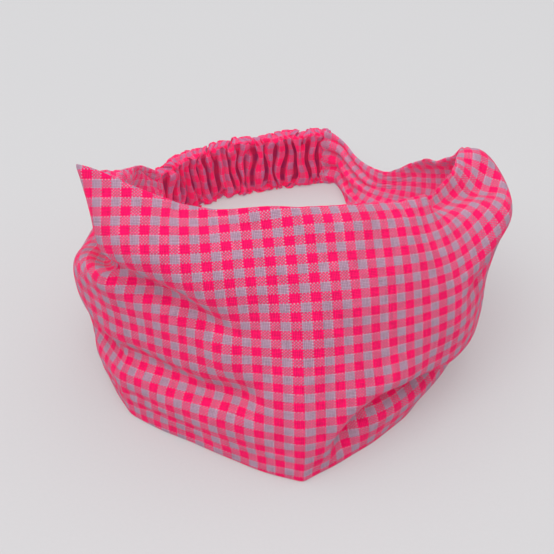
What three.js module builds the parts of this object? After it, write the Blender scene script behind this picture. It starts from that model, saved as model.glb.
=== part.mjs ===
// A wide cotton sports headband, standing on its lower edge: a two-layer front panel whose
// tapered ends take the ends of a gathered casing with a flat elastic inside.
//
// Frame, in millimetres: X runs along the front from the wearer's right to left as seen from
// outside, the front faces -Y, Z is up, and the origin is under the middle of the whole band.
import * as THREE from 'three';

// ---- driving dimensions ---------------------------------------------------------------------
const CLOTH = 0.6;                 // one layer of cotton, as a solid
const HALF_GAP = 0.3;              // from the panel's middle surface to either layer
const SEAM_HALF_GAP = 0.7;         // the same along the two edges, where the turnings lie inside
const SEAM_WIDTH = 6;              // width of that thicker strip
const POCKET_HALF_GAP = 3.6;       // the same at the panel's two ends, which take the casing
const POCKET_DEPTH = 12;           // length over which the layers open towards an end
const SEAM_INSET = 2.5;            // edge seam, in from the edge

const CASING_HEIGHT = 24.6;
const CASING_THICKNESS = 4.6;
const CASING_INSERT = 3;           // how far the casing reaches into either pocket
const GATHERS = 18;
const GATHER_DEPTH = 0.7;          // ridge height of a gather on the casing's faces
const ELASTIC_WIDTH = 18;
const ELASTIC_THICKNESS = 1.0;

const THREAD = 0.5;                // diameter of every sewing thread
const THREAD_CLEARANCE = 0.3;      // between a thread and the cloth it lies on
const TACK_HEIGHT = 14;            // zigzag that holds the elastic's end
const TACK_TURNS = 5;
const TACK_POINTS = 8;             // along the thread, for each turn
const TACK_STEP = 0.7;             // along the elastic, from one turn to the next
const JOIN_INSET = 2;              // row of stitches across either end of the panel
const JOIN_CLEAR_OF_EDGE = 1.5;    // where that row starts, above the panel's lower edge
const CASING_SEAM_HEIGHT = 2;      // the casing's long seam, inside its lower fold

// Five guide curves run round the panel from its left end, past the centre crease, to its
// right end. Each has a point at the same stations, so a column of points is one cross-section.
const CREASE = 8;                  // index of the station on the centre crease
const LOWER_EDGE = [
  [-53.5, 51, 0], [-58, 35, 1], [-66, 3, 3], [-66.5, -25, 1], [-62, -44, 0], [-53.5, -62.5, 0],
  [-40, -71.5, 0], [-18, -84.8, 0], [2, -92.9, 0], [27, -73, 0], [46, -45, 0], [54, -25, 1],
  [54, -3, 4], [40, 29, 4], [25, 58, 1], [21.5, 77.5, 0], [20, 84, 0], [13.5, 87.8, 0],
];
const BELLY = [
  [-53.5, 51, 6.5], [-60, 36, 12], [-69, 3, 16], [-70, -24, 15], [-65, -43, 17],
  [-56, -59.5, 19], [-42, -69.5, 18], [-18, -83.5, 18], [2, -92, 19], [29, -75, 17],
  [53.5, -51.5, 15], [62, -30, 18], [61, -3, 19], [46, 31, 13], [28, 60, 5.5], [22.5, 78, 5],
  [20.5, 84.3, 6], [13.5, 87.8, 6.5],
];
const WAIST = [
  [-53.5, 51, 13], [-61, 36, 23], [-68, 5, 32], [-71.9, -20, 36], [-70.8, -38, 39.5],
  [-58, -55, 41], [-42, -66, 40], [-21, -76, 40], [1.5, -83.5, 42], [31, -71, 37],
  [54, -53.5, 34], [63.5, -31, 37], [61.5, -4, 37], [51, 33, 23], [31, 62, 10], [23.5, 78.5, 10],
  [21, 84.6, 12], [13.5, 87.8, 13],
];
const SHOULDER = [
  [-53.5, 51, 19.5], [-57.5, 35, 33.5], [-58.5, 8, 46.5], [-60, -16, 50], [-57, -36, 53],
  [-58.5, -58.3, 66], [-44, -67, 66], [-22.5, -72, 63.5], [0, -74, 62], [30, -64, 57],
  [53, -48, 52], [70, -27, 57], [67.5, 0, 58], [52, 35, 33], [33, 63, 14], [25, 79, 14],
  [21.5, 85, 16.5], [13.5, 87.8, 19.5],
];
const UPPER_EDGE = [
  [-53.5, 51, 26.2], [-57, 34, 38.5], [-60.5, 6, 53], [-66, -12, 62], [-65, -28, 71],
  [-66.5, -47, 86.5], [-45, -55, 81], [-26, -60, 77], [-2, -60, 79], [26, -50, 75],
  [43, -36, 69], [49.5, -19, 67.5], [57.5, 4, 62], [45.5, 42, 34.5], [34.5, 62, 20],
  [26, 79, 17.5], [22, 86, 20.5], [13.5, 87.8, 26.2],
];

// The casing's middle line in plan, from the panel's left end to its right end.
const CASING_LINE = [[-53.5, 51], [-48, 61], [-40, 69], [-29, 76], [-13, 82], [13.5, 87.8]];

// How finely the solids are divided.
const PANEL_STEPS = 85;            // a multiple of the guides' 17 spans, so one lies on the crease
const PANEL_ROWS = 8;
const STEPS_PER_GATHER = 4;
const ELASTIC_STEPS = 24;
const THREAD_SIDES = 3;            // per half turn

// ---- materials ------------------------------------------------------------------------------
const gingham = () => new THREE.MeshStandardMaterial({ color: 0xee4f86, roughness: 0.9, metalness: 0 });
const elasticWhite = () => new THREE.MeshStandardMaterial({ color: 0xe8e6e2, roughness: 0.8, metalness: 0 });
const threadPink = () => new THREE.MeshStandardMaterial({ color: 0xf27aa4, roughness: 0.7, metalness: 0 });

// ---- helpers --------------------------------------------------------------------------------
const toPoints = (rows) => rows.map(([x, y, z = 0]) => new THREE.Vector3(x, y, z));
const smoothCurve = (points) => new THREE.CatmullRomCurve3(points, false, 'centripetal');

function meshOf(name, geometry, material) {
  const mesh = new THREE.Mesh(geometry, material);
  mesh.name = name;
  return mesh;
}

// A closed solid between two grids of points, `front` on the side that faces out and `back`
// behind it. With `wraps` the last row of each column meets its first, as in a sleeve.
function slab(front, back, wraps) {
  const columns = front.length;
  const rows = front[0].length;
  const positions = [...front.flat(), ...back.flat()].flatMap((p) => [p.x, p.y, p.z]);
  const at = (side, i, j) => side * columns * rows + i * rows + (j % rows);
  const index = [];
  const quad = (a, b, c, d) => index.push(a, b, c, a, c, d);
  const spans = wraps ? rows : rows - 1;
  for (let i = 0; i < columns - 1; i += 1) {
    for (let j = 0; j < spans; j += 1) {
      quad(at(0, i, j), at(0, i + 1, j), at(0, i + 1, j + 1), at(0, i, j + 1));
      quad(at(1, i, j), at(1, i, j + 1), at(1, i + 1, j + 1), at(1, i + 1, j));
    }
  }
  const last = columns - 1;
  for (let j = 0; j < spans; j += 1) {
    quad(at(0, 0, j), at(0, 0, j + 1), at(1, 0, j + 1), at(1, 0, j));
    quad(at(0, last, j + 1), at(0, last, j), at(1, last, j), at(1, last, j + 1));
  }
  if (!wraps) {
    const top = rows - 1;
    for (let i = 0; i < last; i += 1) {
      quad(at(0, i + 1, 0), at(0, i, 0), at(1, i, 0), at(1, i + 1, 0));
      quad(at(0, i, top), at(0, i + 1, top), at(1, i + 1, top), at(1, i, top));
    }
  }
  const geometry = new THREE.BufferGeometry();
  geometry.setAttribute('position', new THREE.Float32BufferAttribute(positions, 3));
  geometry.setIndex(index);
  geometry.computeVertexNormals();
  return geometry;
}

// A path of straight spans whose even steps land on the given points, so that a thread bends
// where the cloth round it bends.
class SpanPath extends THREE.Curve {
  constructor(points) {
    super();
    this.points = points;
  }

  getPoint(t, target = new THREE.Vector3()) {
    const place = Math.min(Math.max(t, 0), 1) * (this.points.length - 1);
    const i = Math.min(Math.floor(place), this.points.length - 2);
    return target.copy(this.points[i]).lerp(this.points[i + 1], place - i);
  }

  getUtoTmapping(u) {
    return u;
  }
}

// A round thread through a list of points.
function threadThrough(points) {
  const section = new THREE.Shape();
  section.absarc(0, 0, THREAD / 2, 0, 2 * Math.PI);
  return new THREE.ExtrudeGeometry(section, {
    steps: points.length - 1, curveSegments: THREAD_SIDES, bevelEnabled: false,
    extrudePath: new SpanPath(points),
  });
}

// ---- the panel's middle surface -------------------------------------------------------------
// The two lowest guides are sharply bent on the centre crease, the others pass it smoothly.
function guide(rows, creased) {
  const points = toPoints(rows);
  if (!creased) {
    const whole = smoothCurve(points);
    return (u) => whole.getPoint(u);
  }
  const halves = [smoothCurve(points.slice(0, CREASE + 1)), smoothCurve(points.slice(CREASE))];
  const fold = CREASE / (points.length - 1);
  return (u) => (u < fold ? halves[0].getPoint(u / fold) : halves[1].getPoint((u - fold) / (1 - fold)));
}

const guides = [
  guide(LOWER_EDGE, true), guide(BELLY, true), guide(WAIST, false),
  guide(SHOULDER, false), guide(UPPER_EDGE, false),
];

// u runs from the left end to the right end, v from the lower edge to the upper edge.
function panelPoint(u, v) {
  const point = smoothCurve(guides.map((curve) => curve(u))).getPoint(v);
  point.z = Math.max(point.z, 0);
  return point;
}

// Outward direction of the panel, level along the lower edge that it stands on.
function panelNormal(u, v) {
  const reach = 0.004;
  const along = panelPoint(Math.min(u + reach, 1), v).sub(panelPoint(Math.max(u - reach, 0), v));
  const across = panelPoint(u, Math.min(v + reach, 1)).sub(panelPoint(u, Math.max(v - reach, 0)));
  const normal = along.cross(across);
  if (v === 0) normal.z = 0;
  return normal.normalize();
}

const panelLength = smoothCurve(toPoints(WAIST)).getLength();
const heightAt = (u) => smoothCurve(guides.map((curve) => curve(u))).getLength();

// Half of the space between the panel's two layers.
function halfGap(u, v) {
  const fromEnd = Math.min(u, 1 - u) * panelLength;
  const fromEdge = Math.min(v, 1 - v) * heightAt(u);
  const ease = (distance, width) => 1 - THREE.MathUtils.smoothstep(distance, 0, width);
  const atEdge = HALF_GAP + (SEAM_HALF_GAP - HALF_GAP) * ease(fromEdge, SEAM_WIDTH);
  return atEdge + (POCKET_HALF_GAP - atEdge) * ease(fromEnd, POCKET_DEPTH);
}

// One layer of the panel: side +1 is the outer cloth, -1 the lining.
function panelLayer(side) {
  const grid = (extra) => Array.from({ length: PANEL_STEPS + 1 }, (_, i) =>
    Array.from({ length: PANEL_ROWS + 1 }, (__, j) => {
      const u = i / PANEL_STEPS;
      const v = j / PANEL_ROWS;
      const offset = side * (halfGap(u, v) + extra);
      return panelPoint(u, v).addScaledVector(panelNormal(u, v), offset);
    }));
  const near = grid(0);
  const far = grid(CLOTH);
  return side > 0 ? slab(far, near, false) : slab(near, far, false);
}

// The seam along an edge runs between the layers, and stops short of the two pockets.
function edgeSeam(upper) {
  const stop = Math.ceil((POCKET_DEPTH / panelLength) * PANEL_STEPS);
  const points = [];
  for (let i = stop; i <= PANEL_STEPS - stop; i += 1) {
    const u = i / PANEL_STEPS;
    const inset = SEAM_INSET / heightAt(u);
    points.push(panelPoint(u, upper ? 1 - inset : inset));
  }
  return threadThrough(points);
}

// ---- the gathered casing and its elastic ----------------------------------------------------
// The casing's middle line starts and ends inside the panel's pockets.
const insert = CASING_INSERT / panelLength;
const casingCurve = smoothCurve([
  panelPoint(insert, 0.5), ...toPoints(CASING_LINE), panelPoint(1 - insert, 0.5),
].map((p) => new THREE.Vector3(p.x, p.y, 0)));

// Point on the casing: w along it, `out` away from the middle line, `height` above the floor.
function casingPoint(w, out, height) {
  const heading = casingCurve.getTangentAt(w);
  const outward = new THREE.Vector3(-heading.y, heading.x, 0);
  const point = casingCurve.getPointAt(w).addScaledVector(outward, out);
  point.z = height;
  return point;
}

// A flat-sided loop with round top and bottom, as [out, height] pairs about the casing's middle.
function sleeveSection(halfThickness, halfHeight) {
  const corner = halfThickness * 0.7;
  const flat = halfThickness - corner;
  const loop = [];
  for (const [sx, sz, from] of [[1, -1, -90], [1, 1, 0], [-1, 1, 90], [-1, -1, 180]]) {
    for (const turn of [0, 45, 90]) {
      const angle = THREE.MathUtils.degToRad(from + turn);
      const out = sx * flat + corner * Math.cos(angle);
      const up = sz * (halfHeight - corner) + corner * Math.sin(angle);
      loop.push([out, up]);
    }
  }
  return loop;
}

function rearCasing() {
  const steps = GATHERS * STEPS_PER_GATHER;
  const middle = CASING_HEIGHT / 2;
  const wall = (halfThickness, halfHeight, ripple) => Array.from({ length: steps + 1 }, (_, i) => {
    const w = i / steps;
    const fromEnd = Math.min(w, 1 - w) * casingCurve.getLength();
    const open = THREE.MathUtils.smoothstep(fromEnd, CASING_INSERT, 3 * CASING_INSERT);
    const ridge = ripple * open * Math.sin(Math.PI * GATHERS * w) ** 2;
    return sleeveSection(halfThickness, halfHeight).map(([out, up]) =>
      casingPoint(w, out + Math.sign(out) * ridge, middle + up)).reverse();
  });
  const half = CASING_THICKNESS / 2;
  return slab(
    wall(half, middle, GATHER_DEPTH),
    wall(half - CLOTH, middle - CLOTH, GATHER_DEPTH),
    true,
  );
}

function rearElastic() {
  const middle = CASING_HEIGHT / 2;
  const face = (out) => Array.from({ length: ELASTIC_STEPS + 1 }, (_, i) =>
    [-0.5, 0.5].map((k) => casingPoint(0.01 + 0.98 * (i / ELASTIC_STEPS), out, middle + k * ELASTIC_WIDTH)));
  return slab(face(-ELASTIC_THICKNESS / 2), face(ELASTIC_THICKNESS / 2), false);
}

// The casing's long seam lies inside its lower fold.
function casingSeam() {
  const points = Array.from({ length: ELASTIC_STEPS + 1 }, (_, i) =>
    casingPoint(0.03 + 0.94 * (i / ELASTIC_STEPS), 0, CASING_SEAM_HEIGHT));
  return threadThrough(points);
}

// A zigzag of thread on the elastic's outer face, `start` along the casing and going `way`.
function elasticTack(start, way) {
  const out = ELASTIC_THICKNESS / 2 + THREAD_CLEARANCE + THREAD / 2;
  const length = casingCurve.getLength();
  const points = Array.from({ length: 2 * TACK_TURNS + 1 }, (_, i) => {
    const w = start + (way * TACK_STEP * i) / length;
    const up = (i % 2 ? 0.5 : -0.5) * TACK_HEIGHT;
    return casingPoint(w, out, CASING_HEIGHT / 2 + up);
  });
  return threadThrough(smoothCurve(points).getPoints(TACK_POINTS * TACK_TURNS));
}

// The row of stitches across an end of the panel: up the outer cloth, over the upper edge and
// down the lining.
function joinStitches(u) {
  const face = halfGap(u, 0.5) + CLOTH + THREAD_CLEARANCE + THREAD / 2;
  const lift = THREAD_CLEARANCE + THREAD / 2 + 0.1;
  const foot = JOIN_CLEAR_OF_EDGE / heightAt(u);
  const heights = [foot, 0.25, 0.5, 0.75, 1 - foot];
  const onFace = (v, side) => panelPoint(u, v).addScaledVector(panelNormal(u, v), side * face);
  const overTop = [1, 0.9, 0, -0.9, -1].map((share) => {
    const point = panelPoint(u, 1).addScaledVector(panelNormal(u, 1), share * face);
    point.z += Math.abs(share) === 1 ? lift / 2 : lift;
    return point;
  });
  return threadThrough([
    ...heights.map((v) => onFace(v, 1)), ...overTop, ...heights.reverse().map((v) => onFace(v, -1)),
  ]);
}

// ---- the assembly ---------------------------------------------------------------------------
const joinAt = JOIN_INSET / panelLength;
const headband = new THREE.Group();
headband.add(
  meshOf('front_panel_outer', panelLayer(1), gingham()),
  meshOf('front_panel_lining', panelLayer(-1), gingham()),
  meshOf('upper_edge_seam', edgeSeam(true), threadPink()),
  meshOf('lower_edge_seam', edgeSeam(false), threadPink()),
  meshOf('left_join_stitches', joinStitches(joinAt), threadPink()),
  meshOf('right_join_stitches', joinStitches(1 - joinAt), threadPink()),
  meshOf('rear_casing', rearCasing(), gingham()),
  meshOf('rear_elastic', rearElastic(), elasticWhite()),
  meshOf('casing_seam', casingSeam(), threadPink()),
  meshOf('left_elastic_tack', elasticTack(0.02, 1), threadPink()),
  meshOf('right_elastic_tack', elasticTack(0.98, -1), threadPink()),
);

export default headband;
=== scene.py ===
"""A wide gingham sports headband: a two-layer cotton panel that stands on its lower edge, folded
and creased, with a gathered elastic casing behind.

The cloth is worked out in millimetres and made into meshes in metres. The panel is a flat cut,
settled as cloth over a shape with the band's folds; the casing is a sleeve of the same cloth,
gathered to under half its length round the elastic.
"""
import math

import bpy
import numpy as np
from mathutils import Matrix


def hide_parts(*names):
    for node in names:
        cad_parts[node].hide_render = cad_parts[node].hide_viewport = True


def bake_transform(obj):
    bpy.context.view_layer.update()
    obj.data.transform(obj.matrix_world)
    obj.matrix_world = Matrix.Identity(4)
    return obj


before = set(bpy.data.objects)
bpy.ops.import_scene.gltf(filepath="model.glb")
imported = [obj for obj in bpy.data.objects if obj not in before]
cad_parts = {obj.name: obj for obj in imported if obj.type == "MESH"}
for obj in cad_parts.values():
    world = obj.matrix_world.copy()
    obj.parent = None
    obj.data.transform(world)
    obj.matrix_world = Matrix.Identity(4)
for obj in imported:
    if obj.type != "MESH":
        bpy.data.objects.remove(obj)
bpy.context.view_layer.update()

MM = 0.001
rng = np.random.default_rng(7)

# ---- the panel's guide curves, from its left end past the centre crease to its right end -----
CREASE = 8                      # station of the centre crease
APEX = 5                        # station of the upright fold at the left
LAPEL_TOP = 12                  # station where the upper edge turns over at the right
LOWER_EDGE = [
    (-53.5, 51, 0), (-58, 35, 1), (-66, 3, 3), (-66.5, -25, 1), (-62, -44, 0), (-53.5, -62.5, 0),
    (-40, -71.5, 0), (-18, -84.8, 0), (2, -93.6, 0), (27, -73, 0), (46, -45, 0), (54, -25, 1),
    (54, -3, 4), (40, 29, 4), (25, 58, 1), (21.5, 77.5, 0), (20, 84, 0), (13.5, 87.8, 0)]
BELLY = [
    (-53.5, 51, 6.5), (-60, 36, 12), (-69, 3, 16), (-70, -24, 15), (-65, -43, 17),
    (-56, -59.5, 19), (-42, -69.5, 18), (-18, -83.5, 18), (2, -92.2, 19), (29, -75, 17),
    (53.5, -51.5, 15), (62, -30, 18), (61, -3, 19), (46, 31, 13), (28, 60, 5.5), (22.5, 78, 5),
    (20.5, 84.3, 6), (13.5, 87.8, 6.5)]
WAIST = [
    (-53.5, 51, 13), (-61, 36, 23), (-68, 5, 32), (-71.9, -20, 36), (-70.8, -38, 39.5),
    (-58, -55, 41), (-42, -66, 40), (-21, -76, 40), (1.5, -83.5, 42), (31, -71, 37),
    (54, -53.5, 34), (63.5, -31, 37), (61.5, -4, 37), (51, 33, 23), (31, 62, 10),
    (23.5, 78.5, 10), (21, 84.6, 12), (13.5, 87.8, 13)]
SHOULDER = [
    (-53.5, 51, 19.5), (-57.5, 35, 33.5), (-58.5, 8, 46.5), (-60, -16, 50), (-57, -36, 53),
    (-58.5, -58.3, 66), (-44, -67, 66), (-22.5, -72, 63.5), (0, -74, 62), (30, -64, 57),
    (53, -48, 52), (70, -27, 57), (67.5, 0, 58), (52, 35, 33), (33, 63, 14), (25, 79, 14),
    (21.5, 85, 16.5), (13.5, 87.8, 19.5)]
UPPER_EDGE = [
    (-53.5, 51, 26.5), (-57, 34, 38.5), (-60.5, 6, 53), (-66, -12, 62), (-65, -28, 71),
    (-66.5, -47, 86.5), (-45, -55, 81), (-26, -60, 77), (-2, -60, 79), (26, -50, 75),
    (43, -36, 69), (49.5, -19, 67.5), (57.5, 4, 62), (45.5, 42, 34.5), (34.5, 62, 20),
    (26, 79, 17.5), (22, 86, 20.5), (13.5, 87.8, 25.5)]
GUIDES = [np.array(g, float) for g in (LOWER_EDGE, BELLY, WAIST, SHOULDER, UPPER_EDGE)]
# How sharply each guide turns at its folds, from 0 for round to 1 for a pressed crease.
TURNS = ((CREASE, (1.0, 0.8, 0.35, 0.1, 0.0)), (APEX, (0.8, 0.5, 0.2, 0.8, 1.0)),
         (LAPEL_TOP, (0.0, 0.0, 0.0, 0.4, 0.9)))

# The cut's upper and lower outlines above the middle thread, at the same stations.
CUT_TOP = (15, 21, 31, 43, 53, 57, 50, 45, 43, 43, 43, 43, 40, 25, 15, 14, 14, 15)
CUT_BOTTOM = (-15, -22, -31, -37, -40, -41, -43, -44.5, -46, -46, -46, -44, -35, -19, -14, -14,
              -15, -15)
CUT_HEIGHT = 85.0                                  # usual height, to measure folds along it

CASING_LINE = [(-53.5, 51), (-48, 61), (-40, 69), (-29, 76), (-13, 82), (3.5, 86.2),
               (13.5, 87.8)]
CASING_HEIGHT = 24.0

# ---- the cloth ------------------------------------------------------------------------------
CHECK_ALONG, CHECK_ACROSS = 6.2, 5.5               # from one pink stripe to the next
THREADS_PER_CHECK = 12
COLUMN_STEP, ROWS = 2.0, 48                        # of the settled panel
SETTLING_ROUNDS = 240
HALF_LAYERS = 0.55                                 # middle surface to either layer
EDGE_ROLL = 1.3                                    # how far in the turned edge is round
POCKET_OPENING, POCKET_LENGTH = 1.7, 10.0          # extra half gap where an end takes the casing
POCKET_ROUND = 6                                   # how far in from its edges that gap is round

FLOOR = 0.35                                       # lowest point of a middle surface
PANEL_BEND, CASING_BEND = 0.12, 0.04               # how much they resist bending
SLIDE = 0.8                                        # how fast the cloth slides over its shape
TOWARD_SHAPE = 0.10                                # pull on to the shape in each round
HOLD = 0.004                                       # pull to its own place on the shape
STANDS_FROM, STANDS_TO, STANDS_FADE = -105, 62, 10     # where the lower edge stands on the floor
STANDING_HOLD = (0.9, 0.7, 0.4, 0.15)              # extra hold of its lowest rows
EDGE_STEPS = (0, .12, .4, .8, 1.3, 2.2)            # rows of the mesh near a turned edge


# ---- curves and surfaces --------------------------------------------------------------------
def curve_through(x, points, at, turns=()):
    """Cubic through points at x, looked up at `at`; turns = (station, sharpness) of its corners."""
    span = np.diff(x)[:, None]
    slope = np.diff(points, axis=0) / span
    middle = np.empty_like(points)
    middle[1:-1] = (slope[:-1] * span[1:] + slope[1:] * span[:-1]) / (span[:-1] + span[1:])
    middle[0], middle[-1] = slope[0], slope[-1]
    leave, arrive = middle.copy(), middle.copy()
    for k, sharp in turns:
        leave[k] = (1 - sharp) * middle[k] + sharp * slope[k]
        arrive[k] = (1 - sharp) * middle[k] + sharp * slope[k - 1]
    i = np.clip(np.searchsorted(x, at, side="right") - 1, 0, len(x) - 2)
    h = span[i]
    t = (at - x[i])[:, None] / h
    return ((2 * t**3 - 3 * t**2 + 1) * points[i] + (t**3 - 2 * t**2 + t) * h * leave[i]
            + (3 * t**2 - 2 * t**3) * points[i + 1] + (t**3 - t**2) * h * arrive[i + 1])


def lengths_along(points):
    return np.r_[0, np.cumsum(np.linalg.norm(np.diff(points, axis=0), axis=1))]


def stations():
    """How far each station is along the cloth from the crease, the guides' lengths averaged."""
    own = [lengths_along(g) for g in GUIDES]
    return np.mean([s - s[CREASE] for s in own], axis=0)


STATIONS = stations()


def guide_surface(along, across):
    """Points of the smooth surface over the five guides; along in mm, across from 0 to 1."""
    rows = np.array([
        curve_through(STATIONS, guide, along, [(at, sharp[k]) for at, sharp in TURNS])
        for k, guide in enumerate(GUIDES)])
    flat = rows.reshape(len(GUIDES), -1)
    out = curve_through(np.linspace(0, 1, len(GUIDES)), flat, across)
    return out.reshape(len(across), len(along), 3).transpose(1, 0, 2)


def cut_outline(values, along):
    return curve_through(STATIONS, np.array(values, float)[:, None], along)[:, 0]


def normals_of(grid):
    n = np.cross(np.gradient(grid, axis=0), np.gradient(grid, axis=1))
    return n / np.maximum(np.linalg.norm(n, axis=-1, keepdims=True), 1e-9)


def look_up(grid, u, v):
    """Bilinear values of a grid at fractional places."""
    u = np.clip(u, 0, grid.shape[0] - 1.001)
    v = np.clip(v, 0, grid.shape[1] - 1.001)
    i, j = u.astype(int), v.astype(int)
    f, g = (u - i)[..., None], (v - j)[..., None]
    low = grid[i, j] * (1 - f) + grid[i + 1, j] * f
    high = grid[i, j + 1] * (1 - f) + grid[i + 1, j + 1] * f
    return low * (1 - g) + high * g


# ---- folds, each along a line of (mm along, share of the height) ------------------------------
# Most of these lines began as points picked by eye in the photo, which a scratch program projected
# back on to the guide surface. They were then moved, some of them only a little.
UPPER_FOLD = [
    (-112, .58), (-102, .63), (-92, .66), (-82, .67), (-72, .67), (-64, .65), (-56, .63),
    (-46, .62), (-36, .61), (-28, .58), (-20, .54), (-12, .50)]
LOWER_FOLD = [
    (-96, .30), (-80, .28), (-68, .28), (-56, .31), (-44, .31), (-30, .30), (-20, .33),
    (-10, .33)]
DENT = [(-32, .30), (-25, .325), (-17, .33)]
LEFT_CORNER = [(-25, .58), (-24, .46), (-25, .36)]
TUCK = [
    (12.5, .035), (15.5, .14), (20, .215), (27, .25), (37.5, .245), (45, .23), (53, .21),
    (61, .19), (75, .18)]
RIGHT_CORNER = [(10, .05), (11, .18), (14, .30)]
LAPEL_DENT = [(54, 1.0), (66, .97), (77, .94), (86, .90), (93, .85), (100, .79)]
RIGHT_HOLLOW = [(58, .60), (74, .62), (92, .64)]
LEFT_ROLL = [(-100, .90), (-116, .88), (-132, .88)]
LEFT_END, RIGHT_END = STATIONS[0], STATIONS[-1]
EDGE_CREASE = [(-16, 1.0), (-6, .975), (6, .945), (20, .93), (36, .935), (52, .96)]
EDGE_ROLL_BACK = [(-8, 1.02), (10, 1.02), (30, 1.02), (50, 1.02)]


def raised(path, by):
    return [(a, t + by) for a, t in path]


# The panel's ends are drawn into pleats where they take the casing: (end, share of the height,
# reach along, lean, push).
PLEATS = [
    (LEFT_END, .20, 22, .05, -2.0), (LEFT_END, .42, 26, .04, 1.8), (LEFT_END, .62, 20, -.02, -2.0),
    (LEFT_END, .84, 24, -.05, 1.6), (RIGHT_END, .14, -34, .12, -2.6), (RIGHT_END, .30, -24, .10, 2.2),
    (RIGHT_END, .46, -38, .06, -3.0), (RIGHT_END, .62, -26, .00, 2.2), (RIGHT_END, .76, -40, -.06, -2.8),
    (RIGHT_END, .90, -28, -.10, 1.6)]

PLEAT_WIDTH, PLEAT_FADES = 3.4, (5, 14)

# (line, push outward in mm, width, and how far in from either end it fades)
FOLDS = [
    (UPPER_FOLD, -8.5, 3.4, 30, 34),
    (raised(UPPER_FOLD[1:8], -.10), 2.5, 6, 16, 24),
    (raised(UPPER_FOLD[2:], .09), 1.5, 7, 8, 20),
    (LOWER_FOLD, -5.5, 3.5, 6, 16),
    (raised(LOWER_FOLD, -.09), 1.5, 8, 8, 14),
    (DENT, -3, 3, 5, 6),
    (LEFT_CORNER, 2, 6, 8, 6),
    (TUCK, -12.5, 3.4, 12, 8),
    (raised(TUCK[:6], .10), 3, 7, 12, 12),
    (RIGHT_CORNER, 1.5, 4, 4, 8),
    (LAPEL_DENT, -7, 4.5, 8, 10),
    (RIGHT_HOLLOW, -2.4, 5, 10, 12),
    (LEFT_ROLL, -2, 7, 8, 8),
    (EDGE_CREASE, .8, 3, 6, 10),
    (EDGE_ROLL_BACK, -4, 4.5, 12, 12),
    *[([(end, t), (end + reach, t + lean)], push, PLEAT_WIDTH, *PLEAT_FADES)
      for end, t, reach, lean, push in PLEATS],
]
GUTTERS = [                                        # the same, for pushes upward
    ([(110, 1.0), (124, 1.0), (138, 1.0)], -2.5, 9, 8, 8),
    ([(96, .93), (104, .90), (114, .86)], 3, 7, 6, 6),
    (UPPER_FOLD[1:], -3, 5, 24, 30),
    (raised(UPPER_FOLD[1:], -.11), 3, 5, 16, 24),
    (TUCK, 2, 5, 14, 8),
]
RUMPLES = 40                                       # faint waves all over, as cotton keeps
RUMPLE_DEPTH = 0.045
RUMPLE_LENGTH = (14.0, 42.0)


def distance_to(path, a, b):
    """Distance of points (a, b) to a path, and their share of the way along it."""
    best, share = np.full(a.shape, 1e9), np.zeros(a.shape)
    length = lengths_along(path)
    for k in range(len(path) - 1):
        p, d = path[k], path[k + 1] - path[k]
        f = np.clip(((a - p[0]) * d[0] + (b - p[1]) * d[1]) / (d @ d), 0, 1)
        r = np.hypot(a - p[0] - f * d[0], b - p[1] - f * d[1])
        near = r < best
        best = np.where(near, r, best)
        share = np.where(near, (length[k] + f * np.linalg.norm(d)) / length[-1], share)
    return best, share, length[-1]


def fold_push(folds, along, across):
    """How far the folds push each point of the surface."""
    a, b = np.meshgrid(along, across * CUT_HEIGHT, indexing="ij")
    push = np.zeros(a.shape)
    for line, depth, width, fade_in, fade_out in folds:
        path = np.array(line, float) * (1, CUT_HEIGHT)
        r, share, length = distance_to(path, a, b)
        f = np.clip(share * length / fade_in, 0, 1) * np.clip((1 - share) * length / fade_out, 0, 1)
        push += depth * f * f * (3 - 2 * f) * np.exp(-(r / width) ** 2)
    return push


def rumples(along, across):
    a, b = np.meshgrid(along, across * CUT_HEIGHT, indexing="ij")
    push = np.zeros(a.shape)
    for _ in range(RUMPLES):
        heading, phase = rng.uniform(0, np.pi), rng.uniform(0, 2 * np.pi)
        wave = 2 * np.pi / rng.uniform(*RUMPLE_LENGTH)
        push += RUMPLE_DEPTH * np.sin(wave * (a * np.cos(heading) + b * np.sin(heading)) + phase)
    return push


def folded_surface(along, across):
    """The shape the panel is laid over: the smooth surface with its folds pushed into it."""
    goal = guide_surface(along, across)
    push = fold_push(FOLDS, along, across) + rumples(along, across)
    goal = goal + normals_of(goal) * push[..., None]
    goal[..., 2] += fold_push(GUTTERS, along, across)
    goal[..., 2] = np.maximum(goal[..., 2], FLOOR)
    return goal


# ---- settling cloth ---------------------------------------------------------------------------
def springs(rest, bend, shape=None):
    """Pairs of grid points that keep their distance, in sets whose pairs share no point.
    The bending ones let the cloth fold as far as a given shape does."""
    columns, rows = rest.shape[:2]
    sets = []
    for di, dj, stiff in ((1, 0, 1), (0, 1, 1), (1, 1, .4), (1, -1, .4),
                          (2, 0, bend), (0, 2, bend), (4, 0, bend), (0, 4, bend)):
        first = (slice(0, columns - di), slice(max(0, -dj), rows - max(0, dj)))
        second = (slice(di, columns), slice(max(0, dj), rows - max(0, -dj)))
        length = np.linalg.norm(rest[first] - rest[second], axis=-1)
        if shape is not None and max(di, abs(dj)) > 1:
            length = np.minimum(length, np.linalg.norm(shape[first] - shape[second], axis=-1))
        place = np.indices(length.shape)[0 if di else 1] // max(di, abs(dj))
        for half in (0, 1):
            use = (place % 2 == half)[..., None]
            sets.append((first, second, length, stiff, use, max(di, abs(dj)) > 1))
    return sets


def pull(points, sets):
    """One round of the springs; those over more than one cell only push, as cloth resists bending."""
    for first, second, length, stiff, use, bending in sets:
        d = points[second] - points[first]
        r = np.linalg.norm(d, axis=-1) + 1e-9
        share = (r - length) / r
        if bending:
            share = np.minimum(share, 0)
        move = use * share[..., None] * (0.5 * stiff) * d
        points[first] += move
        points[second] -= move


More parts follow.
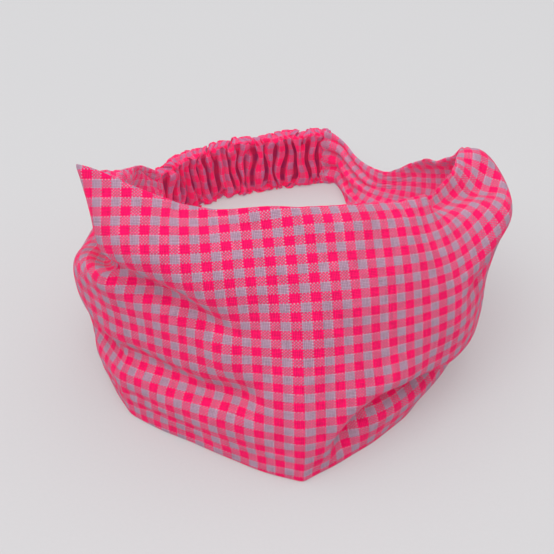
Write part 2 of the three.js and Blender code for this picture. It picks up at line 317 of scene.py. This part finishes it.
def settle_over(goal, rest, pinned, crease, hold):
    """Lay the flat cut over a goal surface, on which it may slide to keep its own lengths."""
    columns, rows = goal.shape[:2]
    points = goal.copy()
    u, v = np.meshgrid(np.arange(columns) * 1.0, np.arange(rows) * 1.0, indexing="ij")
    du, dv = np.gradient(goal, axis=0), np.gradient(goal, axis=1)
    sets = springs(rest, bend=PANEL_BEND, shape=goal)
    for step in range(SETTLING_ROUNDS):
        pull(points, sets)
        if step % 4 == 0:
            a, b, off = look_up(du, u, v), look_up(dv, u, v), points - look_up(goal, u, v)
            aa, bb, ab = (a * a).sum(-1), (b * b).sum(-1), (a * b).sum(-1)
            oa, ob = (off * a).sum(-1), (off * b).sum(-1)
            det = aa * bb - ab * ab + 1e-9
            u = np.clip(u + SLIDE * (oa * bb - ob * ab) / det, 0, columns - 1)
            v = np.clip(v + SLIDE * (ob * aa - oa * ab) / det, 0, rows - 1)
            v[:, 0], v[:, -1], u[0], u[-1] = 0, rows - 1, 0, columns - 1
            u[crease] = crease
        points += TOWARD_SHAPE * (look_up(goal, u, v) - points) + hold * (goal - points)
        points[pinned] = goal[pinned]
        points[..., 2] = np.maximum(points[..., 2], FLOOR)
    return points


def settled_panel():
    """The panel's middle surface: its points, and where each lies on the flat cut."""
    crease = int(round(-STATIONS[0] / COLUMN_STEP))
    beyond = int(round(STATIONS[-1] / COLUMN_STEP))
    along = np.r_[np.linspace(STATIONS[0], 0, crease + 1), np.linspace(0, STATIONS[-1], beyond + 1)[1:]]
    across = np.linspace(0, 1, ROWS)
    top, bottom = cut_outline(CUT_TOP, along), cut_outline(CUT_BOTTOM, along)
    cut = np.stack([np.repeat(along[:, None], ROWS, 1),
                    bottom[:, None] + (top - bottom)[:, None] * across], -1)
    goal = folded_surface(along, across)
    pinned = np.zeros(goal.shape[:2], bool)
    pinned[:2] = pinned[-2:] = True
    pinned[crease, 0] = True
    # the standing edge stays where the floor holds it
    hold = np.full(goal.shape[:2] + (1,), HOLD)
    stands = (np.clip((along - STANDS_FROM) / STANDS_FADE, 0, 1)
              * np.clip((STANDS_TO - along) / STANDS_FADE, 0, 1))
    for row, share in enumerate(STANDING_HOLD):
        hold[:, row, 0] += share * stands
    return settle_over(goal, cut, pinned, crease, hold), cut


# ---- meshes -----------------------------------------------------------------------------------
def finer_rows(grid, edge_steps):
    """The same grid with its rows at the given distances from either edge as well, in mm."""
    height = np.linalg.norm(np.diff(grid, axis=1), axis=-1).sum(1).mean()
    inner = np.arange(1, grid.shape[1] - 1) / (grid.shape[1] - 1)
    edge = np.array(edge_steps) / height
    inner = inner[(inner > edge[-1] * 1.3) & (inner < 1 - edge[-1] * 1.3)]
    share = np.r_[edge, inner, 1 - edge[::-1]]
    u, v = np.meshgrid(np.arange(grid.shape[0]) * 1.0, share * (grid.shape[1] - 1), indexing="ij")
    return u, v, share * height, height


def make_mesh(name, points, uv, wraps=False, flip=False, levels=1, ridge=None):
    """A sheet over a grid of points, with its place on the flat cut as the UV map, in mm."""
    columns, rows = points.shape[:2]
    i, j = np.meshgrid(np.arange(columns - 1), np.arange(rows - (0 if wraps else 1)), indexing="ij")
    a, b = i * rows + j, i * rows + (j + 1) % rows
    quads = np.stack([a, a + rows, b + rows, b], -1).reshape(-1, 4)
    if flip:
        quads = quads[:, ::-1]
    mesh = bpy.data.meshes.new(name)
    mesh.from_pydata((points.reshape(-1, 3) * MM).tolist(), [], quads.tolist())
    mesh.polygons.foreach_set("use_smooth", [True] * len(mesh.polygons))
    layer = mesh.uv_layers.new(name="cut")
    loops = np.empty(len(mesh.loops), int)
    mesh.loops.foreach_get("vertex_index", loops)
    layer.data.foreach_set("uv", uv.reshape(-1, 2)[loops].astype(np.float32).ravel())
    # the ridge mask tells the material where to lay painted shade in the casing's creases
    if ridge is not None:
        mesh.attributes.new("ridge", "FLOAT", "POINT").data.foreach_set("value", ridge.ravel())
    obj = bpy.data.objects.new(name, mesh)
    bpy.context.scene.collection.objects.link(obj)
    if levels:
        smooth = obj.modifiers.new("smooth", "SUBSURF")
        smooth.levels = smooth.render_levels = levels
        smooth.uv_smooth = "PRESERVE_BOUNDARIES"
    return obj


def panel_layer(name, middle, cut, side):
    """The outer layer (side 1) or the lining (side -1), rolled over where they meet at an edge."""
    u, v, from_edge, height = finer_rows(middle, EDGE_STEPS)
    points, uv = look_up(middle, u, v), look_up(cut, u, v)
    inset = np.minimum(from_edge, height - from_edge)
    roll = np.clip(inset / EDGE_ROLL, 0, 1)
    gap = HALF_LAYERS * np.sqrt(1 - (1 - roll) ** 2)
    to_end = np.minimum(cut[:, 0, 0] - cut[0, 0, 0], cut[-1, 0, 0] - cut[:, 0, 0])
    open_by = POCKET_OPENING * (1 - np.clip(to_end / POCKET_LENGTH, 0, 1)) ** 2
    body = np.sqrt(1 - (1 - np.clip(inset / POCKET_ROUND, 0, 1)) ** 2)
    offset = gap[None] + open_by[:, None] * body[None]
    points = points + side * normals_of(points) * offset[..., None]
    return make_mesh(name, points, uv, flip=side < 0)


def thread(path, radius, sides=6):
    """Rings of points round a path, in mm, which make a thin round thread."""
    path = np.asarray(path, float)
    tangent = np.gradient(path, axis=0)
    tangent /= np.linalg.norm(tangent, axis=1, keepdims=True) + 1e-9
    reference = np.where(abs(tangent[:, 2:]) > 0.9, (1.0, 0, 0), (0, 0, 1.0))
    across = np.cross(tangent, reference)
    across /= np.linalg.norm(across, axis=1, keepdims=True)
    other = np.cross(tangent, across)
    turn = np.linspace(0, 2 * np.pi, sides, endpoint=False)
    ring = across[:, None] * np.cos(turn)[:, None] + other[:, None] * np.sin(turn)[:, None]
    taper = np.ones(len(path))
    taper[[0, -1]] = 0.35
    return path[:, None] + ring * (radius * taper)[:, None, None]


def join_grids(name, grids):
    """One mesh of several threads, closed at their ends."""
    verts, faces, base = [], [], 0
    for g in grids:
        columns, rows = g.shape[:2]
        verts.append(g.reshape(-1, 3))
        for i in range(columns - 1):
            for j in range(rows):
                k = (j + 1) % rows
                faces.append((base + i * rows + j, base + (i + 1) * rows + j,
                              base + (i + 1) * rows + k, base + i * rows + k))
        faces.append(tuple(base + j for j in range(rows)))
        faces.append(tuple(base + (columns - 1) * rows + j for j in reversed(range(rows))))
        base += columns * rows
    mesh = bpy.data.meshes.new(name)
    mesh.from_pydata((np.concatenate(verts) * MM).tolist(), [], faces)
    mesh.polygons.foreach_set("use_smooth", [True] * len(mesh.polygons))
    obj = bpy.data.objects.new(name, mesh)
    bpy.context.scene.collection.objects.link(obj)
    return obj


# ---- the gathered casing ----------------------------------------------------------------------
GATHER_RATIO = 2.4                                 # flat length over gathered length
CASING_STEP = 0.95
SLEEVE_ROWS = 50
SLEEVE_ROUND = 60.0                                # flat width of the casing's cloth
SLEEVE_HALF = 1.3                                  # flattened sleeve, middle to either face
FULLNESS = 4.0                                     # how far a gather may stand out
SLEEVE_MIN = 1.1                                   # middle to a face where a gather is pinched flat
INTO_POCKET = 3.0
CASING_ROUNDS = 160
SLEEVE_BOTTOM, SLEEVE_RUFFLE = 0.4, 0.9            # lowest point, and rise of the ruffled fold
WRINKLES = 210                                     # short ones that start the gathers
WRINKLE_TILT = 0.7
WRINKLE_WIDTH, WRINKLE_RUN = (0.8, 1.5), (3, 11)
WRINKLE_PUSH = (1.0, 2.6)
WRINKLE_LEVEL = 1.1                                # taken off all over, so there are dips as well


def casing_frames(x):
    """Points and outward directions of the casing's line in plan, at distances x along it."""
    line = np.array(CASING_LINE, float)
    place = lengths_along(line)
    at = curve_through(place, line, x)
    ahead = curve_through(place, line, x + 0.5) - at
    ahead /= np.linalg.norm(ahead, axis=1, keepdims=True)
    return at, np.stack([ahead[:, 1], -ahead[:, 0]], 1)


def sleeve_section(share):
    """Depth and height round a flattened sleeve, from its lower fold up the front, down the back."""
    half = CASING_HEIGHT / 2
    angle = 2 * np.pi * share
    depth = SLEEVE_HALF * np.sign(np.sin(angle)) * abs(np.sin(angle)) ** 0.5
    height = half - half * np.sign(np.cos(angle)) * abs(np.cos(angle)) ** 0.75
    return depth, height


def wrinkles(along, height, length, front):
    """How far short wrinkles push each point of the sleeve out, at random places on both faces."""
    push = np.zeros(along.shape)
    for k in range(WRINKLES):
        tilt = rng.normal(0, WRINKLE_TILT)
        x = along - rng.uniform(0, length)
        h = height - rng.uniform(-2, CASING_HEIGHT + 2)
        across = (x * np.cos(tilt) + h * np.sin(tilt)) / rng.uniform(*WRINKLE_WIDTH)
        down = (h * np.cos(tilt) - x * np.sin(tilt)) / rng.uniform(*WRINKLE_RUN)
        face = front if k % 2 else ~front
        push += face * rng.uniform(*WRINKLE_PUSH) * np.exp(-across**2 - down**2)
    return push - WRINKLE_LEVEL


def gathered_sleeve():
    """Points of the sleeve in its own straight space (along, depth, height), and its flat cut."""
    length = lengths_along(np.array(CASING_LINE, float))[-1] + 2 * INTO_POCKET
    flat = length * GATHER_RATIO
    columns = int(flat / CASING_STEP)
    share = np.linspace(0, 1, SLEEVE_ROWS)
    depth, height = sleeve_section(share)
    along = np.linspace(0, 1, columns)
    points = np.empty((columns, SLEEVE_ROWS, 3))
    points[..., 0] = along[:, None] * length - INTO_POCKET
    points[..., 1] = depth
    points[..., 2] = height + SLEEVE_BOTTOM
    front = (depth >= 0)[None]
    from_end = np.minimum(along, 1 - along)[:, None]
    push = wrinkles(points[..., 0], height, length, front) * np.clip(from_end * 14, 0, 1)
    side = np.where(front, 1.0, -1.0)
    points[..., 1] += side * np.clip(push, -0.6, 2.6)
    rest = np.stack([np.repeat(along[:, None] * flat, SLEEVE_ROWS, 1),
                     np.repeat(share[None] * SLEEVE_ROUND, columns, 0)], -1)
    sets = springs(rest, bend=CASING_BEND)
    # the gathers fill out away from the ends, some more than others, and ruffle both folds
    middle_part = np.clip(from_end * 9, 0, 1)
    x = points[..., 0].copy()
    full = 1.2 + (FULLNESS - 1.2) * middle_part
    full = full * (1 + 0.28 * np.sin(x / 1.9 + 0.35 * height) * np.sin(x / 5.1 + 2 - 0.22 * height))
    points[..., 2] += np.sin(x / 2.3 + 1.5 * np.sin(x / 6.0)) * (SLEEVE_RUFFLE * middle_part)
    start = points.copy()
    ends = np.zeros(points.shape[:2], bool)
    ends[:3] = ends[-3:] = True
    for _ in range(CASING_ROUNDS):
        pull(points, sets)
        points[..., 1] = np.where(front, np.clip(points[..., 1], SLEEVE_MIN, full),
                                  np.clip(points[..., 1], -full, -SLEEVE_MIN))
        points[..., 0] += 0.02 * (start[..., 0] - points[..., 0])
        points[..., 2] += 0.05 * (start[..., 2] - points[..., 2])
        points[..., 2] = np.clip(points[..., 2], SLEEVE_BOTTOM, CASING_HEIGHT + SLEEVE_RUFFLE)
        points[ends] = start[ends]
    return points, rest


def swayed(points):
    """Gathers lean and curve: shift each point along by slow waves that change from gather to gather."""
    x, z = points[..., 0], points[..., 2]
    fade = np.clip(np.minimum(x - x.min(), x.max() - x) / 7, 0, 1)
    side = np.where(points[..., 1] > 0, 0.0, 2.4)
    shift = 1.0 * np.sin(z / 5.1 + x / 4.1 + 2.6 * np.sin(x / 9.0) + side)
    shift = shift + 0.35 * np.sin(z / 2.1 - x / 2.6 + 2.0 * np.sin(x / 5.3) + side)
    out = points.copy()
    out[..., 0] += fade * shift
    return out


def onto_line(points):
    """From the casing's straight space to the band."""
    at, out = casing_frames(points[..., 0].ravel())
    flat = at + out * points[..., 1].ravel()[:, None]
    return np.concatenate([flat, points[..., 2].ravel()[:, None]], 1).reshape(points.shape)


# ---- materials --------------------------------------------------------------------------------
PINK = (1.0, 0.004, 0.130, 1)
GREY = (0.44, 0.275, 0.375, 1)
PALE = (0.85, 0.45, 0.55, 1)
PALE_SHARE = 0.32                                  # of the single pale threads
PINK_EXTRA = 0.22                                  # the pink yarn covers more than its half
FIRST_STRIPE = (3.1, 2.0)                          # mm from the cut's origin back to a pink stripe
SHEEN_TINT = (1.0, 0.6, 0.75, 1)
PAINTED_GLOW = (1.0, 0.06, 0.30, 1)                        # painted glow: emission standing in for light that comes through the cloth
# strength of the painted glow on the lining and the casing
INSIDE_PAINTED_GLOW = 0.13
# a painted pink tint for light bounced between the casing's folds, and the painted shade colour of its
# creases
PAINTED_BOUNCE_TINT, CREASE_SHADE_COLOR = (1.0, 0.60, 0.76, 1), (0.40, 0.0, 0.13, 1)
SEWING_COLOR = (0.88, 0.30, 0.45, 1)
PAPER_GLOW = (1, 0.975, 0.99, 1)
TABLE_GLOW = 0.28                                  # the paper lies on a light table


class Nodes:
    """Short spellings for a material's node tree."""

    def __init__(self, name):
        self.material = bpy.data.materials.new(name)
        self.material.use_nodes = True
        self.tree = self.material.node_tree
        self.tree.nodes.clear()

    def add(self, kind, **values):
        node = self.tree.nodes.new(kind)
        for key, value in values.items():
            setattr(node, key, value)
        return node

    def link(self, a, b):
        self.tree.links.new(a, b)

    def put(self, socket, value):
        if isinstance(value, bpy.types.NodeSocket):
            self.link(value, socket)
        else:
            socket.default_value = value

    def math(self, operation, a, b=0.0, c=0.0):
        node = self.add("ShaderNodeMath", operation=operation)
        for socket, value in zip(node.inputs, (a, b, c)):
            self.put(socket, value)
        return node.outputs[0]

    def times(self, a, b):
        return self.math("MULTIPLY", a, b)

    def mix(self, share, a, b, blend="MIX"):
        node = self.add("ShaderNodeMix", data_type="RGBA", blend_type=blend)
        self.put(node.inputs[0], share)
        self.put(node.inputs[6], a)
        self.put(node.inputs[7], b)
        return node.outputs[2]

    def noise(self, vector, scale, detail=2.0):
        node = self.add("ShaderNodeTexNoise")
        self.link(vector, node.inputs["Vector"])
        node.inputs["Scale"].default_value = scale
        node.inputs["Detail"].default_value = detail
        return node.outputs["Fac"]

    def combine(self, x, y, z=0.0):
        node = self.add("ShaderNodeCombineXYZ")
        for socket, value in zip(node.inputs, (x, y, z)):
            self.put(socket, value)
        return node.outputs[0]

    def shaded(self, color, level):
        """A colour times a grey level."""
        return self.mix(1.0, color, self.combine(level, level, level), "MULTIPLY")

    def finish(self, color, height, distance, roughness, sheen, tint=(1, 1, 1, 1), strength=0.6,
               glow=0.0, glow_color=PAINTED_GLOW):
        """The material, with its relief as a bump of the given height map and distance."""
        shader = self.add("ShaderNodeBsdfPrincipled")
        self.put(shader.inputs["Base Color"], color)
        self.put(shader.inputs["Roughness"], roughness)
        shader.inputs["Sheen Weight"].default_value = sheen
        shader.inputs["Sheen Roughness"].default_value = 0.5
        shader.inputs["Sheen Tint"].default_value = tint
        shader.inputs["Specular IOR Level"].default_value = 0.14
        # glow is emission: a painted glow on the cloth, and the light table's own glow on the floor
        shader.inputs["Emission Color"].default_value = glow_color
        shader.inputs["Emission Strength"].default_value = glow
        bump = self.add("ShaderNodeBump")
        bump.inputs["Strength"].default_value = strength
        bump.inputs["Distance"].default_value = distance
        self.put(bump.inputs["Height"], height)
        self.link(bump.outputs[0], shader.inputs["Normal"])
        out = self.add("ShaderNodeOutputMaterial")
        self.link(shader.outputs[0], out.inputs[0])
        return self.material


def stripe(n, place, period):
    """1 on the pink half of a stripe repeat, 0 on the grey half, and 1 on its single pale thread."""
    share = n.math("FRACT", n.math("DIVIDE", place, period))
    pink = n.math("LESS_THAN", share, 0.5)
    pale = n.math("GREATER_THAN", share, 1 - 1.0 / THREADS_PER_CHECK)
    return pink, pale


def yarn_color(n, place, period, along_noise):
    """Where the yarns of one direction are pink, and their colour, uneven along each yarn."""
    pink, pale = stripe(n, place, period)
    base = n.mix(pink, GREY, PINK)
    base = n.mix(n.times(pale, PALE_SHARE), base, PALE)
    return pink, n.shaded(base, n.math("MULTIPLY_ADD", along_noise, 0.7, 0.65))


def gingham(name, glow=0.0, gathered=False):
    """Plain weave of pink and grey yarn stripes both ways, from the cut's own coordinates in mm."""
    n = Nodes(name)
    cut = n.add("ShaderNodeUVMap", uv_map="cut").outputs[0]
    split = n.add("ShaderNodeSeparateXYZ")
    n.link(cut, split.inputs[0])
    x = n.math("ADD", split.outputs[0], FIRST_STRIPE[0])
    y = n.math("ADD", split.outputs[1], FIRST_STRIPE[1])
    pitch_x, pitch_y = CHECK_ALONG / THREADS_PER_CHECK, CHECK_ACROSS / THREADS_PER_CHECK
    warp_id = n.math("FLOOR", n.math("DIVIDE", x, pitch_x))
    weft_id = n.math("FLOOR", n.math("DIVIDE", y, pitch_y))
    warp_noise = n.noise(n.combine(n.times(warp_id, 3.7), n.times(y, 0.25)), 1.0)
    weft_noise = n.noise(n.combine(n.times(x, 0.25), n.times(weft_id, 5.3), 9.0), 1.0)
    warp_pink, warp = yarn_color(n, x, CHECK_ALONG, warp_noise)
    weft_pink, weft = yarn_color(n, y, CHECK_ACROSS, weft_noise)
    # which yarn lies on top at each crossing; a pink one shows a little even where it is under
    parity = n.math("PINGPONG", n.math("ADD", warp_id, weft_id), 1.0)
    share = n.math("SUBTRACT", parity, n.times(n.times(parity, warp_pink), PINK_EXTRA))
    hidden = n.times(n.math("SUBTRACT", 1.0, parity), weft_pink)
    color = n.mix(n.math("MULTIPLY_ADD", hidden, PINK_EXTRA, share), warp, weft)
    # each thread is round across and dips where the other passes over it
    across_x = n.math("PINGPONG", n.math("DIVIDE", x, pitch_x), 0.5)
    across_y = n.math("PINGPONG", n.math("DIVIDE", y, pitch_y), 0.5)
    height = n.times(n.math("SINE", n.times(across_x, math.pi)),
                     n.math("SINE", n.times(across_y, math.pi)))
    # the cloth is cloudy, with slubs along either yarn
    cloudy = n.noise(n.combine(x, y), 0.09, 3.0)
    slubs = n.math("ADD", n.noise(n.combine(n.times(x, 1.5), n.times(y, 0.16), 3.0), 1.0),
                   n.noise(n.combine(n.times(x, 0.16), n.times(y, 1.5), 6.0), 1.0))
    level = n.math("ADD", n.math("MULTIPLY_ADD", cloudy, 0.24, 0.58), n.times(slubs, 0.30))
    color = n.shaded(color, level)
    # painted shade and highlight: each thread is darker where it dips under the other and lighter on its
    # crown
    color = n.shaded(color, n.math("MULTIPLY_ADD", height, 0.50, 0.70))
    if gathered:                                   # little light reaches between the gathers: their creases get painted shade, and the whole casing a painted pink bounce tint
        ridge = n.add("ShaderNodeAttribute", attribute_name="ridge").outputs["Fac"]
        depth = n.math("SMOOTH_MIN", n.times(ridge, 2.8), 1.0, 0.3)
        color = n.mix(depth, n.mix(1.0, color, CREASE_SHADE_COLOR, "MULTIPLY"), color)
        color = n.mix(1.0, color, PAINTED_BOUNCE_TINT, "MULTIPLY")
    roughness = n.math("MULTIPLY_ADD", height, -0.1, 0.92)
    return n.finish(color, height, 0.00010, roughness, 0.14, SHEEN_TINT, 0.5, glow)


def thread_material(name, color):
    """Twisted sewing cotton."""
    n = Nodes(name)
    place = n.add("ShaderNodeTexCoord").outputs["Object"]
    wave = n.add("ShaderNodeTexWave", wave_type="BANDS", bands_direction="DIAGONAL")
    n.link(place, wave.inputs["Vector"])
    wave.inputs["Scale"].default_value = 900
    twist = wave.outputs["Fac"]
    # painted shade: the thread is darker in the grooves of its twist
    tone = n.shaded(color, n.math("MULTIPLY_ADD", twist, 0.3, 0.7))
    return n.finish(tone, twist, 0.00005, 0.75, 0.2)


RIB_PITCH = 0.0014                                 # of the elastic's cords, m


def webbing_material(name):
    """White elastic: rubber cords along it, held by a knitted ground."""
    n = Nodes(name)
    place = n.add("ShaderNodeTexCoord").outputs["Object"]
    split = n.add("ShaderNodeSeparateXYZ")
    n.link(place, split.inputs[0])
    ribs = n.math("SINE", n.times(split.outputs[2], 2 * math.pi / RIB_PITCH))
    knit = n.noise(place, 1400, 2.0)
    height = n.math("MULTIPLY_ADD", knit, 0.4, n.math("MULTIPLY_ADD", ribs, 0.5, 0.5))
    # painted shade: the white elastic is darker in the grooves between its cords and in the knit's dips
    shade = n.math("MULTIPLY_ADD", height, 0.15, 0.75)
    return n.finish(n.combine(shade, shade, n.times(shade, 0.97)), height, 0.0002, 0.8, 0.1)


# ---- build --------------------------------------------------------------------------------------
cloth = gingham("gingham_cotton")
# the lining's and the casing's copies of the cloth carry a painted glow; the casing's copy also has
# painted shade in its creases and a painted pink bounce tint
inner_cloth = gingham("gingham_inside_painted_glow", INSIDE_PAINTED_GLOW)
gathered_cloth = gingham("gingham_gathered_painted_shade", INSIDE_PAINTED_GLOW, gathered=True)
sewing = thread_material("sewing_thread", SEWING_COLOR)

middle, cut = settled_panel()
outer = panel_layer("panel_outer", middle, cut, 1)
lining = panel_layer("panel_lining", middle, cut, -1)

sleeve, sleeve_cut = gathered_sleeve()
# how far each point stands out as a ridge, from 0 in a crease; the folded edges always do. It masks the
# painted shade in the creases.
ridge = np.clip((abs(sleeve[..., 1]) - SLEEVE_MIN) / (FULLNESS - 1.0 - SLEEVE_MIN), 0, 1)
to_fold = np.minimum(sleeve[..., 2], CASING_HEIGHT - sleeve[..., 2])
ridge = np.maximum(ridge, 1 - np.clip((to_fold - 0.5) / 3, 0, 1))
casing = make_mesh("gathered_casing", onto_line(swayed(sleeve)), sleeve_cut, ridge=ridge)

for piece, material in ((outer, cloth), (lining, inner_cloth), (casing, gathered_cloth)):
    piece.data.materials.append(material)

SEAM_INSET, SEAM_THREAD = 2.2, 0.22


def seam_path(share_rows):
    """A line on the panel's middle surface, the given number of rows in from an edge."""
    u = np.arange(0, middle.shape[0] - 0.99, 0.5)
    return look_up(middle, u, np.full(u.shape, share_rows))


rows_in = SEAM_INSET / (CUT_HEIGHT / (ROWS - 1))
upper_seam = join_grids("upper_edge_thread", [thread(seam_path(ROWS - 1 - rows_in), SEAM_THREAD)])
lower_seam = join_grids("lower_edge_thread", [thread(seam_path(rows_in), SEAM_THREAD)])

STITCH, STITCH_GAP, STITCH_THREAD = 2.0, 0.7, 0.2
STITCH_FROM_EDGE, STITCH_BOW = 2.5, 0.15
JOIN_INSET = 2.0                                   # of a row of stitches from the panel's end


def join_stitches(name, column):
    """A row of stitches across one end of the panel, on both its faces."""
    grids = []
    line, facing = middle[column], normals_of(middle)[column]
    height = lengths_along(line)
    # how far the thread lies from the middle surface: on the cloth, and a little bowed
    lift = (HALF_LAYERS + POCKET_OPENING * (1 - JOIN_INSET / POCKET_LENGTH) ** 2
            + STITCH_BOW * np.sin(np.linspace(0, math.pi, 7)) - 0.05)
    start = STITCH_FROM_EDGE
    while start + STITCH < height[-1] - STITCH_FROM_EDGE:
        where = start + np.linspace(0, 1, 7) * STITCH
        at = np.stack([np.interp(where, height, line[:, k]) for k in range(3)], 1)
        out = np.stack([np.interp(where, height, facing[:, k]) for k in range(3)], 1)
        for face in (1, -1):
            grids.append(thread(at + face * out * lift[:, None], STITCH_THREAD))
        start += STITCH + STITCH_GAP
    return join_grids(name, grids)


left_join = join_stitches("left_join_thread", 1)
right_join = join_stitches("right_join_thread", -2)

ELASTIC_MIDDLE = 12.3
TACK_WIDTH, TACK_HEIGHT, TACK_DEPTH, TACK_TURNS, TACK_THREAD = 1.6, 14, 0.75, 5, 0.25
LEFT_TACK_AT, RIGHT_TACK_FROM_END = 0.4, 2.0
SEAM_HEIGHT = 2.2                                  # of the casing's seam


def tack(name, x):
    """A zigzag of thread through the elastic's end, x along the casing's line."""
    t = np.linspace(0, 1, 41)
    local = np.stack([x + TACK_WIDTH * t, TACK_DEPTH * np.sin(t * TACK_TURNS * 2 * math.pi),
                      ELASTIC_MIDDLE - TACK_HEIGHT / 2 + TACK_HEIGHT * t], 1)
    return join_grids(name, [thread(onto_line(local), TACK_THREAD)])


line_length = lengths_along(np.array(CASING_LINE, float))[-1]
left_tack = tack("left_tack_thread", LEFT_TACK_AT)
right_tack = tack("right_tack_thread", line_length - RIGHT_TACK_FROM_END)

# the casing's long seam, just inside its lower fold
seam_x = np.linspace(0, line_length, 120)
seam_line = np.stack([seam_x, 0 * seam_x, SEAM_HEIGHT + 0.15 * np.sin(seam_x * 2.5)], 1)
long_seam = join_grids("casing_seam_thread", [thread(onto_line(seam_line), SEAM_THREAD)])

for piece in (upper_seam, lower_seam, left_join, right_join, left_tack, right_tack, long_seam):
    piece.data.materials.append(sewing)

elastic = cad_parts["rear_elastic"]
elastic.data.materials.clear()
elastic.data.materials.append(webbing_material("elastic_webbing"))

# ---- what stands for what -------------------------------------------------------------------------
STANDS_FOR = [
    (outer, "front_panel_outer", "gingham_cotton"),
    (lining, "front_panel_lining", "gingham_cotton"),
    (casing, "rear_casing", "gingham_cotton"),
    (upper_seam, "upper_edge_seam", "sewing_thread"),
    (lower_seam, "lower_edge_seam", "sewing_thread"),
    (left_join, "left_join_stitches", "sewing_thread"),
    (right_join, "right_join_stitches", "sewing_thread"),
    (left_tack, "left_elastic_tack", "sewing_thread"),
    (right_tack, "right_elastic_tack", "sewing_thread"),
    (long_seam, "casing_seam", "sewing_thread"),
]
for piece, node, finish in STANDS_FOR:
    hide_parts(node)
    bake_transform(piece)

# ---- floor, light and camera ------------------------------------------------------------------------
FLOOR_SIZE = 6.0


def studio_floor():
    mesh = bpy.data.meshes.new("floor")
    h = FLOOR_SIZE / 2
    mesh.from_pydata([(-h, -h, 0), (h, -h, 0), (h, h, 0), (-h, h, 0)], [], [(0, 1, 2, 3)])
    floor = bpy.data.objects.new("floor", mesh)
    bpy.context.scene.collection.objects.link(floor)
    n = Nodes("pale_paper")
    place = n.add("ShaderNodeTexCoord").outputs["Object"]
    grain = n.noise(place, 900, 3.0)
    tone = n.math("MULTIPLY_ADD", grain, 0.02, 0.34)
    mesh.materials.append(n.finish(n.combine(tone, tone, n.times(tone, 1.01)), grain, 0.00002,
                                   0.8, 0.0, glow=TABLE_GLOW, glow_color=PAPER_GLOW))


def area_light(name, place, aim, size, power):
    data = bpy.data.lights.new(name, "AREA")
    data.shape, data.size, data.energy = "DISK", size, power
    light = bpy.data.objects.new(name, data)
    light.location = place
    bpy.context.scene.collection.objects.link(light)
    direction = np.array(aim, float) - np.array(place, float)
    yaw = math.atan2(direction[1], direction[0]) - math.pi / 2
    pitch = math.atan2(direction[2], math.hypot(direction[0], direction[1]))
    light.rotation_euler = (math.pi / 2 + pitch, 0, yaw)


studio_floor()
LIGHTS_AIM = (0, 0, 0.03)
ROOM_COLOR, ROOM_STRENGTH = (0.97, 0.98, 1.0, 1), 0.74
area_light("overhead", (-0.1, 0.1, 1.6), LIGHTS_AIM, 2.0, 8.5)
area_light("front_fill", (-0.4, -0.9, 1.6), LIGHTS_AIM, 1.6, 12)
world = bpy.data.worlds.new("studio")
world.use_nodes = True
background = world.node_tree.nodes["Background"]
background.inputs["Color"].default_value = ROOM_COLOR
background.inputs["Strength"].default_value = ROOM_STRENGTH
bpy.context.scene.world = world
bpy.context.scene.view_settings.view_transform = "Standard"

CAMERA_AT = (-0.006, -0.358, 0.262)
CAMERA_DOWN = math.radians(35)
camera = bpy.data.objects.new("camera", bpy.data.cameras.new("camera"))
camera.data.sensor_width, camera.data.lens = 36, 78
camera.data.clip_start = 0.01
camera.location = CAMERA_AT
camera.rotation_euler = (math.pi / 2 - CAMERA_DOWN, 0, 0)
bpy.context.scene.collection.objects.link(camera)
bpy.context.scene.camera = camera
